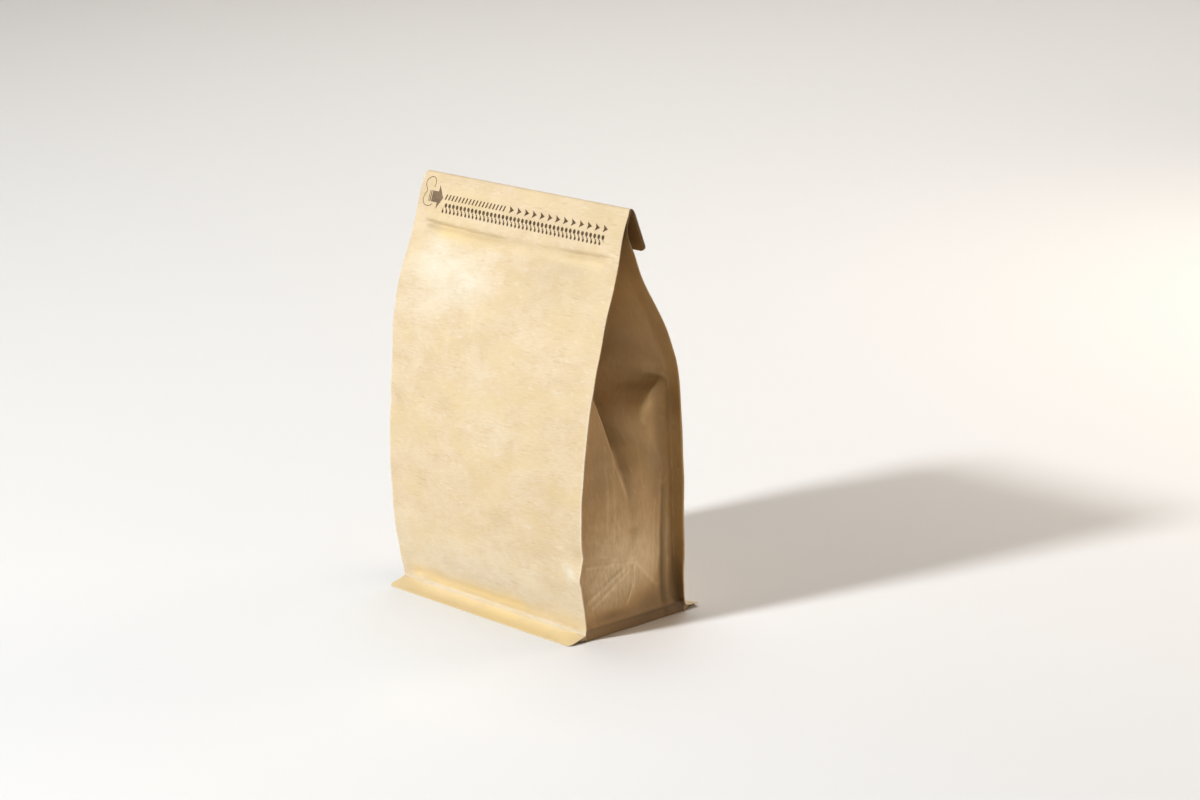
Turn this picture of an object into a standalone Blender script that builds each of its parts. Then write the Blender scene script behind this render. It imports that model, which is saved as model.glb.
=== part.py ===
"""A filled flat-bottomed coffee bag of kraft film, standing, with its top folded over to the back.

The bag is one closed body: rings of points run round it from the base to the top of its two side
tucks, and flat rings carry the closed film on over the fold and down the flap.
+X is the bag's width, its front faces -Y, and it stands on z = 0.
"""

import bpy
import numpy as np

# Driving dimensions, in metres
FILM_HALF_WIDTH = 0.0702  # half of the flat film, to the edge of a side fin
BASE_HALF_WIDTH = 0.0645
BASE_HALF_DEPTH = 0.0436  # to the lips of the front and back base flanges
LIP_THICKNESS = 0.0006
LIP_DRAFT = 0.0001
LIP_CORNER = 0.0025
FLANGE_RISE = 0.0035  # height of the crease where a base flange meets its panel
FIN_WIDTH = 0.0075  # the sealed strip that stands out at each upright edge
FIN_SEAM = 0.0004  # the crown of a panel stops this far inside its fins
TUCK_START = 0.060  # height where the side tucks begin
TUCK_FULL = 0.125  # height where a tuck takes in the whole side panel
TUCK_END = 0.193
GUSSET_HALF = 0.034  # half of the side panel's flat width between its fins
CLOSED_HEIGHT = 0.196  # above this the front and back films lie together
RIBBON_THICKNESS = 0.0013
FOLD_CENTRE = (-0.0091, 0.2013)  # y and z of the fold line over the top
FOLD_RADIUS = 0.00115
FLAP_LENGTH = 0.0232
FLAP_LEAN = np.radians(22.4)  # how far the flap stands off the vertical
FLAP_CORNER = 0.0025
SHOULDER_TWIST = 0.0015  # the left shoulder stands this far in front of the middle
SHOULDER_HEIGHT = 0.150
SHOULDER_SPREAD = 0.024

# Upright profiles, as (height, value)
HALF_WIDTH = [(0, BASE_HALF_WIDTH), (0.012, 0.0653), (0.050, 0.0670), (0.100, 0.0687),
              (0.130, FILM_HALF_WIDTH), (0.200, FILM_HALF_WIDTH)]
FRONT_EDGE = [(0, -BASE_HALF_DEPTH), (LIP_THICKNESS, LIP_DRAFT - BASE_HALF_DEPTH),
              (FLANGE_RISE, -0.0328), (0.012, -0.0346), (0.030, -0.0376), (0.068, -0.0386),
              (0.100, -0.0365), (0.125, -0.0335), (0.150, -0.0278), (0.178, -0.0183),
              (TUCK_END, -0.0144), (CLOSED_HEIGHT, -0.0134)]
BACK_EDGE = [(0, BASE_HALF_DEPTH), (LIP_THICKNESS, BASE_HALF_DEPTH - LIP_DRAFT),
             (FLANGE_RISE, 0.0330), (0.012, 0.0320), (0.050, 0.0297), (0.085, 0.0274),
             (0.110, 0.0244), (0.125, 0.0206), (0.140, 0.0142), (0.155, 0.0056),
             (0.170, -0.0030), (0.182, -0.0078), (TUCK_END, -0.0121), (CLOSED_HEIGHT, -0.0121)]
PANEL_BULGE = [(0, 0), (FLANGE_RISE, 0), (0.012, 0.0018), (0.030, 0.0040), (0.070, 0.0050),
               (0.110, 0.0038), (0.150, 0.0015), (0.180, 0), (0.200, 0)]
FIN_INSET = [(0, 0), (0.002, 0.0002), (0.0045, 0.0010), (0.008, 0.0034), (0.030, 0.0068),
             (0.045, FIN_WIDTH), (0.200, FIN_WIDTH)]
FIN_THICKNESS = [(0, 0.0008), (0.180, 0.0008), (TUCK_END, 0.0006), (0.200, 0.0006)]
GUSSET_BULGE = [(0, 0), (0.0045, 0), (0.008, 0.0010), (0.020, 0.0028), (0.033, 0.0040),
                (0.060, 0.0050), (0.100, 0.0032), (0.130, 0.0010), (0.150, 0), (0.200, 0)]
FRONT_RIDGE = [(0, 0.40), (TUCK_START, 0.40), (0.107, 0.28), (0.119, 0.20), (0.140, 0.07),
               (0.200, 0.07)]
BACK_RIDGE = [(0, 0.60), (TUCK_START, 0.60), (0.095, 0.62), (0.107, 0.68), (0.116, 0.86),
              (0.124, 0.93), (0.200, 0.93)]

# How finely the rings are cut
PANEL_POINTS = 15
RIDGE_POINTS = 5
TUCK_POINTS = 6
FOLD_STEPS = 9
FLAP_STEPS = 6
LEVELS = np.concatenate([
    [0, LIP_THICKNESS, 0.002, FLANGE_RISE, 0.0045, 0.006, 0.008, 0.011, 0.016, 0.022, 0.030],
    np.linspace(0.038, 0.086, 7),
    np.linspace(0.092, 0.187, 20),
    [0.190, TUCK_END],
])


def smooth_through(points, at):
    """The curve through (position, value) points that never swings past them."""
    where, value = np.array(points, float).T
    run = np.diff(where)
    slope = np.diff(value) / run
    tangent = np.zeros(len(where))
    same_way = slope[:-1] * slope[1:] > 0
    near, far = 2 * run[1:] + run[:-1], run[1:] + 2 * run[:-1]
    safe = np.where(same_way[:, None], np.c_[slope[:-1], slope[1:]], 1)
    tangent[1:-1] = np.where(same_way, (near + far) / (near / safe[:, 0] + far / safe[:, 1]), 0)
    tangent[0], tangent[-1] = slope[0], slope[-1]
    step = np.clip(np.searchsorted(where, at) - 1, 0, len(run) - 1)
    part = np.clip((at - where[step]) / run[step], 0, 1)
    return (
        value[step] * (1 + 2 * part) * (1 - part) ** 2
        + tangent[step] * run[step] * part * (1 - part) ** 2
        + value[step + 1] * part**2 * (3 - 2 * part)
        + tangent[step + 1] * run[step] * part**2 * (part - 1)
    )


def panel_edge(profile, height, x):
    """y of a front or back panel's flat edge strip at x, with the shoulders' slight twist."""
    lean = np.exp(-(((height - SHOULDER_HEIGHT) / SHOULDER_SPREAD) ** 2))
    return smooth_through(profile, height) + SHOULDER_TWIST * lean * x / FILM_HALF_WIDTH


def lip_corner(height):
    """How much is cut off the corners of the base flanges, which lie under the panels."""
    return LIP_CORNER if height < FLANGE_RISE else 0


def panel_row(profile, outward, height):
    """One row across a front or back panel: flat fins at both ends, crowned between them."""
    tip = smooth_through(HALF_WIDTH, height) - lip_corner(height)
    root = tip - smooth_through(FIN_INSET, height)
    across = np.sin(np.linspace(-1, 1, PANEL_POINTS) * np.pi / 2)
    x = np.concatenate([[-tip], across * (root - FIN_SEAM), [tip]])
    crown = np.clip(1 - (x / root) ** 2, 0, None)
    y = panel_edge(profile, height, x) + outward * smooth_through(PANEL_BULGE, height) * crown
    return np.c_[x, y]


def tuck_depth(height, half_span):
    """How far the side panel's middle crease goes in, from the film's constant width."""
    rise = np.clip((height - TUCK_START) / (TUCK_FULL - TUCK_START), 0, 1)
    slack = np.sqrt(max(GUSSET_HALF**2 - half_span**2, 0))
    return slack * rise * rise * (3 - 2 * rise)


def side_row(side, height):
    """One row round a side, front to back: fin, side panel with its tuck, fin."""
    half_width = smooth_through(HALF_WIDTH, height)
    root = half_width - smooth_through(FIN_INSET, height)
    thickness = lip_corner(height) or smooth_through(FIN_THICKNESS, height)
    front = panel_edge(FRONT_EDGE, height, side * half_width) + thickness
    back = panel_edge(BACK_EDGE, height, side * half_width) - thickness
    front_ridge = smooth_through(FRONT_RIDGE, height)
    back_ridge = smooth_through(BACK_RIDGE, height)
    along = np.concatenate([
        np.linspace(0, front_ridge, RIDGE_POINTS),
        np.linspace(front_ridge, 0.5, TUCK_POINTS)[1:],
        np.linspace(0.5, back_ridge, TUCK_POINTS)[1:],
        np.linspace(back_ridge, 1, RIDGE_POINTS)[1:],
    ])
    crown = smooth_through(GUSSET_BULGE, height) * (1 - (2 * along - 1) ** 2)
    inward = np.interp(along, [front_ridge, 0.5, back_ridge], [0, 1, 0], left=0, right=0)
    x = root + crown - inward * tuck_depth(height, (back - front) / 2)
    y = front + (back - front) * along
    row = np.concatenate([[[half_width, front]], np.c_[x, y], [[half_width, back]]])
    return row * (side, 1)


def body_ring(height):
    """A closed ring seen from above, anticlockwise from the front panel's left end."""
    ring = np.concatenate([
        panel_row(FRONT_EDGE, -1, height),
        side_row(1, height),
        panel_row(BACK_EDGE, 1, height)[::-1],
        side_row(-1, height)[::-1],
    ])
    return np.c_[ring, np.full(len(ring), height)]


def closed_path():
    """y, z and upward direction of the closed film: up, round the fold and down the flap."""
    front = panel_edge(FRONT_EDGE, CLOSED_HEIGHT, 0)
    start = np.array([front + RIBBON_THICKNESS / 2, CLOSED_HEIGHT])
    centre = np.array(FOLD_CENTRE)
    rise = np.arctan2(*(centre - start))
    turn = np.linspace(-np.pi / 2 + rise, np.pi / 2 - FLAP_LEAN, FOLD_STEPS)
    bend = centre + FOLD_RADIUS * np.c_[np.sin(turn), np.cos(turn)]
    straight = start + (bend[0] - start) * np.array([[0], [0.5]])
    down = np.array([np.sin(FLAP_LEAN), -np.cos(FLAP_LEAN)])
    fall = np.append(np.linspace(0, FLAP_LENGTH - FLAP_CORNER, FLAP_STEPS)[1:], FLAP_LENGTH)
    flap = bend[-1] + down * fall[:, None]
    return np.concatenate([straight, bend, flap])


def closed_ring(place, direction, half_width):
    """A flat ring of the closed film with as many points as a body ring."""
    normal = np.array([-direction[1], direction[0]]) * RIBBON_THICKNESS / 2
    across = np.sin(np.linspace(-1, 1, PANEL_POINTS) * np.pi / 2)
    root = half_width - FIN_WIDTH
    x = np.concatenate([[-half_width], across * root, [half_width]])
    ends = len(side_row(1, CLOSED_HEIGHT))
    through = np.linspace(1, -1, ends + 2)[1:-1]
    front = np.c_[x, np.tile(place + normal, (len(x), 1))]
    right = np.c_[np.full(ends, half_width), place + through[:, None] * normal]
    back = np.c_[x[::-1], np.tile(place - normal, (len(x), 1))]
    left = right[::-1] * (-1, 1, 1)
    return np.concatenate([front, right, back, left])


def closed_rings():
    path = closed_path()
    direction = np.gradient(path, axis=0)
    direction /= np.linalg.norm(direction, axis=1)[:, None]
    half_width = np.full(len(path), FILM_HALF_WIDTH)
    half_width[-1] -= FLAP_CORNER
    return [closed_ring(*step) for step in zip(path, direction, half_width)]


def loft(name, rings, material):
    """One closed mesh through rings of equal length, with a flat cap on each end."""
    count = len(rings[0])
    here = np.arange(count)
    following = np.roll(here, -1)
    faces = []
    for level in range(len(rings) - 1):
        low, high = level * count, (level + 1) * count
        faces += np.c_[here + low, following + low, following + high, here + high].tolist()
    faces.append(here[::-1].tolist())
    # the flap's end is a narrow strip, so it is closed by rungs from its front edge to its back
    last = (len(rings) - 1) * count
    panel = PANEL_POINTS + 2
    side = (count - 2 * panel) // 2
    front = last + np.arange(panel)
    back = last + panel + side + np.arange(panel)[::-1]
    faces += np.c_[front[:-1], front[1:], back[1:], back[:-1]].tolist()
    right = last + panel + np.arange(side)
    left = last + 2 * panel + side + np.arange(side)
    faces.append([front[-1], *right.tolist(), back[-1]])
    faces.append([back[0], *left.tolist(), front[0]])
    mesh = bpy.data.meshes.new(name)
    mesh.from_pydata(np.concatenate(rings).tolist(), [], faces)
    mesh.materials.append(material)
    mesh.shade_smooth()
    mesh.set_sharp_from_angle(angle=np.radians(40))
    bag = bpy.data.objects.new(name, mesh)
    bpy.context.collection.objects.link(bag)
    return bag


def kraft_material():
    material = bpy.data.materials.new("kraft_film")
    material.use_nodes = True
    shader = material.node_tree.nodes["Principled BSDF"]
    shader.inputs["Base Color"].default_value = (0.60, 0.42, 0.24, 1)
    shader.inputs["Roughness"].default_value = 0.7
    shader.inputs["Metallic"].default_value = 0
    return material


def clear_scene():
    for item in list(bpy.data.objects):
        bpy.data.objects.remove(item, do_unlink=True)


clear_scene()
loft("bag", [body_ring(height) for height in LEVELS] + closed_rings(), kraft_material())
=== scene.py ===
import bpy
import numpy as np
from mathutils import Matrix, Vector


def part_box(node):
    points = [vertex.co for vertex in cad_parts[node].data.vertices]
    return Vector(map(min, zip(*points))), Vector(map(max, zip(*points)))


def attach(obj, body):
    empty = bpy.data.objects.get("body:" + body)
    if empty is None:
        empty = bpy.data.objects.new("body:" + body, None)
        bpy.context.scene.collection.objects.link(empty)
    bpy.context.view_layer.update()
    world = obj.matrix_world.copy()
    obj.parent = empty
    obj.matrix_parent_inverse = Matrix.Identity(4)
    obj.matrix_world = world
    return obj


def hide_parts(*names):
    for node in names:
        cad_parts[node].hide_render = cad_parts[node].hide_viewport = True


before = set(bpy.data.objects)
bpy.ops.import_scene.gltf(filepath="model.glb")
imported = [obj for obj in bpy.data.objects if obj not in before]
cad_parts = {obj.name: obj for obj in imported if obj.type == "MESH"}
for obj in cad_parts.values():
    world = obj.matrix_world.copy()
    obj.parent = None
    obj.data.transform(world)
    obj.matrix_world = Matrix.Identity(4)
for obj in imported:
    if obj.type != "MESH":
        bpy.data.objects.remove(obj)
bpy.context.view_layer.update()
bagLow, bagHigh = (np.array(corner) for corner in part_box("bag"))

# A filled coffee bag of kraft film. Shapes are worked out in millimetres in the bag's own
# size below, and carried into the CAD solid's box at the end.

# height and y, above the flanges, of the front and the back film
frontRise = [(12, -34.5), (30, -37.5), (68, -38.5), (100, -36.4), (125, -33.4), (150, -27.7),
             (178, -18.2), (193, -14.3), (196, -13.3)]
backRise = [(6, 32.6), (12, 31.9), (50, 29.6), (85, 27.3), (110, 24.3), (125, 20.5), (140, 14.1),
            (155, 5.5), (170, -3.1), (182, -7.9), (193, -12.1), (196, -12.2)]
bag = {
    "size": (140.4, 87.2, 203.1),  # width, depth, height
    "flatHalfWidth": 70.2,
    "closedHeight": 196.0,  # above this the films lie together
    "film": 0.25,  # thickness
    "layerGap": 0.33,  # from the middle of one film to the next
    "halfWidth": [(0, 64.5), (12, 65.3), (50, 67), (100, 68.7), (130, 70.2), (260, 70.2)],
    "finWidth": [(0, 0.4), (2, 0.5), (4.5, 1), (8, 3.4), (30, 6.8), (45, 7.5), (260, 7.5)],
    "bulge": [
        (0, 0), (4.2, 0), (7, 0.9), (12, 2.1), (30, 4.2), (70, 5), (110, 3.8), (150, 1.5), (180, 0),
        (260, 0),
    ],
    "crownPower": 1.25,
    "twist": (1.5, 150.0, 24.0),  # the left shoulder's lead, its height and its spread
    "frontEdge": [(0.35, -43.45), (3.6, -33.1), (6, -33.2), *frontRise],
    "frontMiddle": [(0.35, -43.45), (0.9, -39.2), (2.1, -36.3), (4.1, -34.1), (4.9, -33.5),
                    (6, -33.5), *frontRise],
    "backEdge": [(0.35, 43.45), (3.6, 33.3), *backRise],
    "backMiddle": [(0.35, 43.45), (0.9, 39.4), (2.1, 36.0), (4.1, 33.8), (4.9, 33.0), *backRise],
    "middleEnds": (48, 62),  # x over which a panel's middle shape gives way to its end's
    "lipReach": 43.45,  # how far forwards and backwards the flanges stand
    "lipCorner": 2.2,
    "lipLift": 1.3,
    "lipLifts": ((53, 66), (35, 43)),  # x and y over which the rear right corner lifts
    "flapCorner": 2.5,
    "finColumns": 6,
    "panelColumns": 121,
    "columnCrowding": 0.72,  # 0 for even steps, 1 for steps that shrink to nothing
}

rowSteps = {
    "flange": (0.35, 3.75, 17, 1.6),  # first height, rise, count and crowding towards the lip
    "seal": (4.5, 16, 0.6),  # first and last height, and step
    "body": (16.2, 195, 240),  # first and last height, and count
}

fold = {
    "centre": (-9.1, 201.3),  # y and z of the fold line
    "radius": 1.15,
    "apart": 0.525,  # front and back film from the middle of the closed film
    "endRounding": (0.7, 1.6),  # how far the fold's ends draw in, and over how far
    "flapLength": 21.0,
    "flapLean": np.radians(22.4),
    "straightRows": 7,
    "bendRows": 16,
    "flapRows": 25,
    "meets": (184, 196),  # heights over which the panels turn into the fold's line
    "closes": (188, 196),  # heights over which the side panels fold shut
}


def smoothThrough(points, at):
    # cubic through (position, value) points, with tangents held back so it never swings past them
    where, value = np.array(points, float).T
    run = np.diff(where)
    slope = np.diff(value) / run
    tangent = np.zeros(len(where))
    sameWay = slope[:-1] * slope[1:] > 0
    near, far = 2 * run[1:] + run[:-1], run[1:] + 2 * run[:-1]
    safe = np.where(sameWay[:, None], np.c_[slope[:-1], slope[1:]], 1)
    tangent[1:-1] = np.where(sameWay, (near + far) / (near / safe[:, 0] + far / safe[:, 1]), 0)
    tangent[0], tangent[-1] = slope[0], slope[-1]
    at = np.asarray(at, float)
    step = np.clip(np.searchsorted(where, at) - 1, 0, len(run) - 1)
    part = np.clip((at - where[step]) / run[step], 0, 1)
    return (value[step] * (1 + 2 * part) * (1 - part) ** 2
            + tangent[step] * run[step] * part * (1 - part) ** 2
            + value[step + 1] * part**2 * (3 - 2 * part)
            + tangent[step + 1] * run[step] * part**2 * (part - 1))


def ease(low, high, value):
    # 3t^2 - 2t^3, where t runs from 0 at low to 1 at high
    t = np.clip((value - low) / (high - low), 0, 1)
    return t * t * (3 - 2 * t)


def hump(value, centre, spread):
    # exp(-((value - centre) / spread)^2)
    return np.exp(-(((value - centre) / spread) ** 2))


def blend(first, second, share):
    # first where share is 0, second where it is 1
    return first + (second - first) * share


def creases(lines, u, v):
    # sum of height * exp(-(distance to the line from a to b / width)^2)
    total = np.zeros(np.broadcast(u, v).shape)
    for u0, v0, u1, v1, height, width in lines:
        du, dv = u1 - u0, v1 - v0
        along = np.clip(((u - u0) * du + (v - v0) * dv) / (du * du + dv * dv), 0, 1)
        away = np.hypot(u - u0 - along * du, v - v0 - along * dv)
        total += height * np.exp(-((away / width) ** 2))
    return total


def dents(places, u, v):
    # sum of height * exp(-((u - u0) / su)^2 - ((v - v0) / sv)^2)
    total = np.zeros(np.broadcast(u, v).shape)
    for u0, v0, su, sv, height in places:
        total += height * hump(u, u0, su) * hump(v, v0, sv)
    return total


def gentleWaves(seed, longest, count, u, v):
    # mean of `count` plane waves of unlike lengths and directions
    draw = np.random.default_rng(seed)
    total = np.zeros(np.broadcast(u, v).shape)
    for _ in range(count):
        angle, phase = draw.uniform(0, 2 * np.pi, 2)
        length = longest * draw.uniform(0.3, 1.0)
        total += np.sin(2 * np.pi / length * (u * np.cos(angle) + v * np.sin(angle)) + phase)
    return total / np.sqrt(count)


# the rows that run up every film and over the fold: a height, or a distance past it, for each
def closedPath():
    # a straight line tangent to the fold's circle, the arc round it, and the flap's straight line:
    # y, z, way up the path (y, z) and distance along it
    start = np.array([(bag["frontEdge"][-1][1] + bag["backEdge"][-1][1]) / 2, bag["closedHeight"]])
    centre, radius = np.array(fold["centre"]), fold["radius"]
    reach = centre - start
    lean = np.arctan2(*reach) - np.arcsin(radius / np.hypot(*reach))
    turn = np.linspace(lean - np.pi / 2, np.pi / 2 - fold["flapLean"], fold["bendRows"])
    bend = centre + radius * np.c_[np.sin(turn), np.cos(turn)]
    rise = np.linspace(0, 1, fold["straightRows"], endpoint=False)[:, None]
    down = np.array([np.sin(fold["flapLean"]), -np.cos(fold["flapLean"])])
    fall = np.linspace(0, fold["flapLength"], fold["flapRows"] + 1)[1:, None]
    places = np.concatenate([start + (bend[0] - start) * rise, bend, bend[-1] + down * fall])
    wayBend = np.c_[np.cos(turn), -np.sin(turn)]
    ways = np.concatenate([np.repeat(wayBend[:1], len(rise), 0), wayBend,
                           np.repeat(down[None], len(fall), 0)])
    along = np.append(0, np.cumsum(np.linalg.norm(np.diff(places, axis=0), axis=1)))
    return places, ways, along


def column(values):
    # one value to each row
    return np.asarray(values, float)[:, None]


def bagRows():
    # body rows by height, then the closed path's rows; for each the two films' y and z at x = 0,
    # the way each faces, the half width, the fins' roots and how closed the bag is
    lowest, rise, count, crowding = rowSteps["flange"]
    flange = lowest + rise * np.linspace(0, 1, count) ** crowding
    body = np.concatenate([flange, np.arange(*rowSteps["seal"]), np.linspace(*rowSteps["body"])])
    places, ways, along = closedPath()
    level = np.concatenate([body, bag["closedHeight"] + along])
    count = len(body)
    outward = np.c_[-ways[:, 1], ways[:, 0]]  # the path's left side, where the front film is
    turning = ease(*fold["meets"], body)[:, None]
    made = {}
    for which, sign in (("front", 1), ("back", -1)):
        way = blend(np.array([-sign, 0.0]), sign * outward[0], turning)
        made[which + "Way"] = np.concatenate([way / np.linalg.norm(way, axis=1)[:, None], sign * outward])
        line = np.concatenate([np.c_[smoothThrough(bag[which + "Edge"], body), body],
                               places + sign * outward * fold["apart"]])
        for _ in range(12):  # eases the corner where the films meet
            near = slice(count - 8, count + 4)
            line[near] = (line[count - 9:count + 3] + 2 * line[near] + line[count - 7:count + 5]) / 4
        made[which] = line
    tip = smoothThrough(bag["halfWidth"], level)
    top = bag["closedHeight"] + along[fold["straightRows"] + fold["bendRows"] // 2]
    drawIn, spread = fold["endRounding"]
    tip = tip - drawIn * hump(level, top, spread)
    flapEnd = np.clip(1 - (level[-1] - level) / bag["flapCorner"], 0, 1)
    tip = tip - bag["flapCorner"] * (1 - np.sqrt(1 - flapEnd**2))
    root = smoothThrough(bag["halfWidth"], level) - smoothThrough(bag["finWidth"], level)
    made.update(level=column(level), tip=column(tip), root=column(np.minimum(root, tip - 0.35)),
                closing=column(ease(*fold["closes"], level)), body=count)
    return made


rows = bagRows()

frontPanel = {
    "which": "front",
    "zip": {"height": 180.0, "dip": 1.3, "half": 64},  # the pressed line
    # strength, height above the pressed line and spread: how far out, how much painted shade darkens the
    # groove and below it, and how warm the painted shade below it is
    "zipShape": ((0.85, 2.5, 1.6), (-1.6, -0.3, 1.6)),
    "zipShade": ((-0.34, -0.7, 1.7),),
    "zipShadow": ((-0.3, -2.6, 2.4),),
    "zipWarmShade": ((0.5, -2.6, 2.6),),
    "creases": [  # x and height at each end, how far out, width
        (-60, 176.5, -38, 173.5, 0.18, 1.4), (10, 168, 30, 172, 0.16, 1.2), (44, 57, 54, 51, 0.28, 1),
        (57, 37, 64, 30, 0.5, 1.6), (53, 22, 62, 20, 0.15, 1), (50, 45, 56, 43, 0.22, 0.8),
        (53, 39, 57, 33, 0.25, 0.8), (-62, 92, -52, 90, 0.1, 1),
    ],
    "dents": [  # x, height, spread across and up, how far out
        (-28, 169, 7, 3.2, -0.6), (31, 165, 2.4, 5, -0.45), (-22, 153, 9, 7, 0.5),
        (-50, 160, 10, 9, 0.15), (8, 158, 12, 8, -0.4), (50, 150, 9, 12, 0.35),
        (-53, 7.4, 4, 2.2, -0.9), (-4, 8.2, 38, 3, -0.35), (20, 34, 12, 5, -0.3),
        (-20, 46, 14, 6, 0.25), (2, 58, 5, 2.2, -0.28), (60, 34, 4, 5, 0.35),
    ],
    # the tones are painted highlights and painted shade
    "paintedLightAndShade": [  # x, height, spreads, lighter or darker
        (-48, 166, 13, 9, 0.5), (-25, 157, 16, 10, 0.72), (-20, 196, 50, 5, 0.15),
        (-48, 150, 20, 22, 0.26), (-9, 171, 8, 3.5, 0.25), (59, 33, 2.4, 4.5, 0.5),
        (30, 166, 34, 15, -0.24), (61, 52, 4, 11, -0.16), (-20, 132, 40, 12, -0.07),
        (44, 38, 10, 9, -0.16), (8, 52, 6, 2.5, -0.12), (-12, 64, 9, 3, -0.1), (4, 26, 6, 2.5, -0.1),
        (40, 172, 10, 3, -0.1), (-34, 158, 6, 3, -0.12), (-2, 108, 7, 16, 0.16), (14, 88, 6, 12, 0.14),
        (-60, 104, 4, 16, -0.08), (0, 20, 90, 13, 0.34),
    ],
    "ripples": [  # x, height, spreads, how far the upright fin stands back
        (68, 42, 7, 3.6, 0.9), (67, 31.5, 8, 3.4, -1.1), (67, 14, 6, 5, 0.3), (69, 96, 7, 9, 0.35),
        (-66, 22, 8, 6, 0.5), (-67, 62, 7, 12, -0.4), (-69, 120, 7, 11, 0.4),
    ],
    "waves": (11, 46.0, 16, 0.14),  # seed, longest, count, height
    "calm": ((0.6, 182, 192), (1, 198, 201)),  # how much of the waves ends, and where
    "lipWaves": 0.10,
    "creaseWear": 0.5,
    # painted highlight along the lip's bend
    "lipHighlight": (0.3, 3.9, 1.0),  # how much lighter, height and spread
    # painted shade near the fold
    "foldShade": (-0.13, 184, 190),  # how much darker, and heights over which it begins
    "grooveEnds": (58, 64),
    "flangeGilt": (0.75, 3.2),  # how warm, and the height that it ends at
    # painted warm shade in the band under the overhang
    "bandShade": (0.85, 8.2, 3.6, 4.6),  # how warm, height, spread and the height that it starts at
}

backPanel = {
    "which": "back",
    "creases": [
        (-30, 150, -4, 143, 0.3, 1.4), (20, 155, 44, 148, 0.28, 1.5), (-50, 40, -38, 52, 0.25, 1.3),
        (30, 24, 50, 30, 0.2, 1.2),
    ],
    "dents": [
        (-24, 128, 16, 9, 0.5), (26, 134, 14, 8, -0.4), (0, 176, 30, 5, -0.3), (-44, 92, 9, 14, 0.35),
        (40, 70, 12, 10, -0.35), (0, 9, 34, 3.5, -0.35),
    ],
    "ripples": [
        (68, 66, 7, 12, 0.25), (67, 22, 7, 7, -0.2), (-67, 34, 8, 6, 0.6), (-66, 20, 8, 5, -0.5),
        (-68, 88, 7, 12, 0.4),
    ],
    "waves": (23, 50.0, 16, 0.2),
    "calm": ((1, 176, 190),),
    # painted highlight along the back lip's bend
    "lipHighlight": (0.3, 3.6, 0.9),
    # painted light on the flange's top
    "flangeLight": (0.8, 3.4),  # how much lighter, and the height that it ends at
    # painted shade inside the flap
    "flapShade": (-0.95, 199, 204),  # how much darker, and path lengths over which it begins
}


def sway(x, level, ripples):
    # how far a film stands back: the shoulders' twist and its fins' ripples
    lead, height, spread = bag["twist"]
    return lead * hump(level, height, spread) * x / bag["flatHalfWidth"] + dents(ripples, x, level)


def crown(x, level, root):
    # bulge(level) * (1 - (x / root)^2)^crownPower, which lies flat at the fins
    share = np.clip(1 - (x / root) ** 2, 0, None) ** bag["crownPower"]
    return smoothThrough(bag["bulge"], level) * share


def middleShift(edge, middle, x, level):
    # how much further back the panel's middle stands than its ends, low down by the flange
    inner = 1 - ease(*bag["middleEnds"], np.abs(x))
    return (smoothThrough(middle, level) - smoothThrough(edge, level)) * inner * (level < 30)


def placed(line, way, x, push, shift):
    # each row's base point, pushed out along its way and shifted in y, at every x
    y = line[:, :1] + way[:, :1] * push + shift
    z = line[:, 1:] + way[:, 1:] * push
    x, y, z = np.broadcast_arrays(x, y, z)
    return np.stack([x, y, z], axis=-1)


def zipLine(x):
    # the height of the pressed groove, which dips by a parabola towards the middle
    press = frontPanel["zip"]
    return press["height"] - press["dip"] * (1 - (x / press["half"]) ** 2)


def alongZip(marks, x, level):
    # sum of strength * hump(height above the pressed line)
    above = level - zipLine(x)
    return sum(strength * hump(above, at, spread) for strength, at, spread in marks)


def grooveShare(x):
    # strongest on the left, weakest right of the middle, and a little uneven
    uneven = 0.18 * np.sin(x / 8.0) * np.sin(x / 4.3 + 1)
    return 0.95 - 0.65 * hump(x, 10, 26) - 0.25 * ease(20, 60, x) + uneven


def zipPress(x, level):
    # humps along the pressed line, that die out at its ends, and fine waves along the lip
    half = frontPanel["zip"]["half"]
    span = grooveShare(x) * (1 - ease(half - 5, half + 1, np.abs(x)))
    waves = frontPanel["lipWaves"] * np.sin(x / 3.1 + 2 * np.sin(x / 11)) * hump(level, 4, 1.5)
    return waves + span * alongZip(frontPanel["zipShape"], x, level)


def panelFilm(panel, x, inward=0.0):
    # the panel's rows pushed out by its crown, creases, dents, gentle waves and, on the front,
    # the pressed line, and shifted in y by its middle's shape and its sway
    level, which = rows["level"], panel["which"]
    inside = 1 - ease(0.93, 1.0, np.abs(x) / rows["root"])
    seed, longest, count, height = panel["waves"]
    quiet = ease(5, 20, level)
    for share, low, high in panel["calm"]:
        quiet = quiet * (1 - share * ease(low, high, level))
    push = crown(x, level, rows["root"]) + height * quiet * gentleWaves(seed, longest, count, x, level)
    push = push + (creases(panel["creases"], x, level) + dents(panel["dents"], x, level)) * inside
    if which == "front":
        push = push + zipPress(x, level)
    shift = middleShift(bag[which + "Edge"], bag[which + "Middle"], x, level)
    shift = shift + sway(x, level, panel["ripples"])
    return placed(rows[which], rows[which + "Way"], x, push - inward, shift)


def heldFilms(x):
    # the front and back films a layer's gap inwards, where the side panels meet them
    return [panelFilm(panel, x, bag["layerGap"]) for panel in (frontPanel, backPanel)]


# from points to pieces
def intoBox(points):
    # the bag's own millimetres carried into the CAD solid's box, in metres
    width, depth, height = bag["size"]
    low = np.array([-width / 2, -depth / 2, 0])
    share = (bagHigh - bagLow) / np.array([width, depth, height])
    return bagLow + (points - low) * share


def unitNormals(grid):
    # cross product of the grid's two directions, made one long
    normal = np.cross(np.gradient(grid, axis=1), np.gradient(grid, axis=0))
    return normal / np.maximum(np.linalg.norm(normal, axis=2, keepdims=True), 1e-9)


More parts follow.
